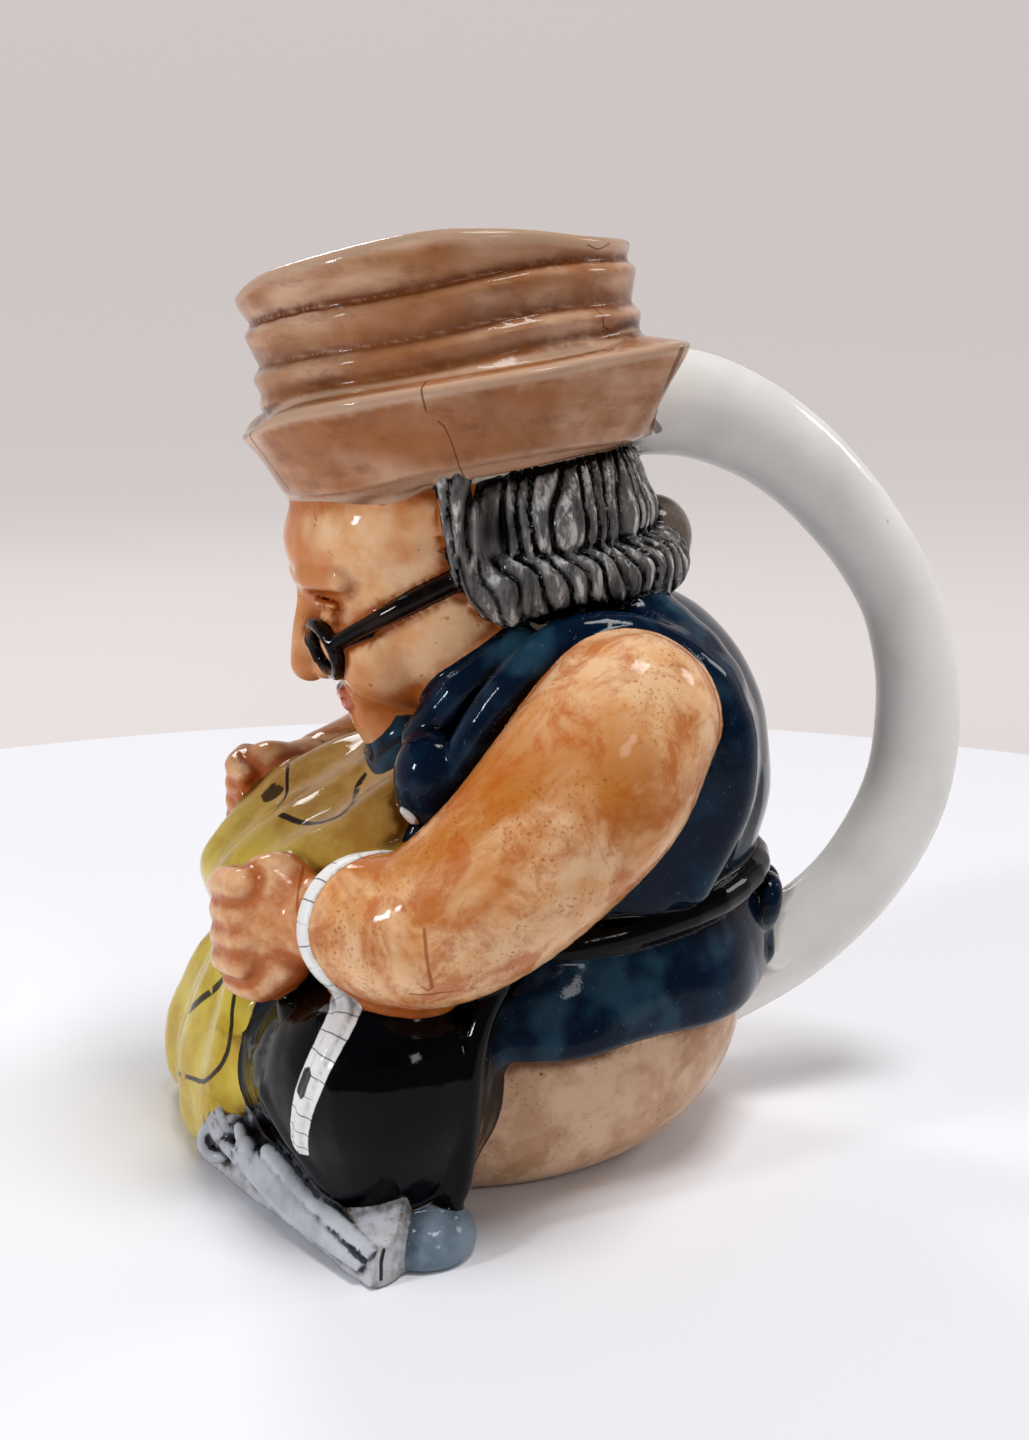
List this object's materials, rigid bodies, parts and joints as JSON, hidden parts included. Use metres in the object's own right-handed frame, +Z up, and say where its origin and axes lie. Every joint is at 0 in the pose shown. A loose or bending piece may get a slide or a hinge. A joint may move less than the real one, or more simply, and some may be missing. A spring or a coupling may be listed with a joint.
{
  "type": "toby jug",
  "caption": "Glazed earthenware toby jug of a seated tailor sewing, his cocked hat open as the jug's mouth, with a plain C handle behind.",
  "frame": {"origin": "middle of the flat foot, on the surface that the jug stands on", "axes": "+Z up, the tailor faces -Y, his left side is +X and the handle is towards +Y"},
  "size_m": [0.1253, 0.1695, 0.177],
  "materials": {
    "glazed_earthenware": "hand-painted underglaze colours in mottled washes under a clear, glossy glaze"
  },
  "bodies": {
    "root": {"toby_jug": "glazed_earthenware"}
  },
  "joints": []
}
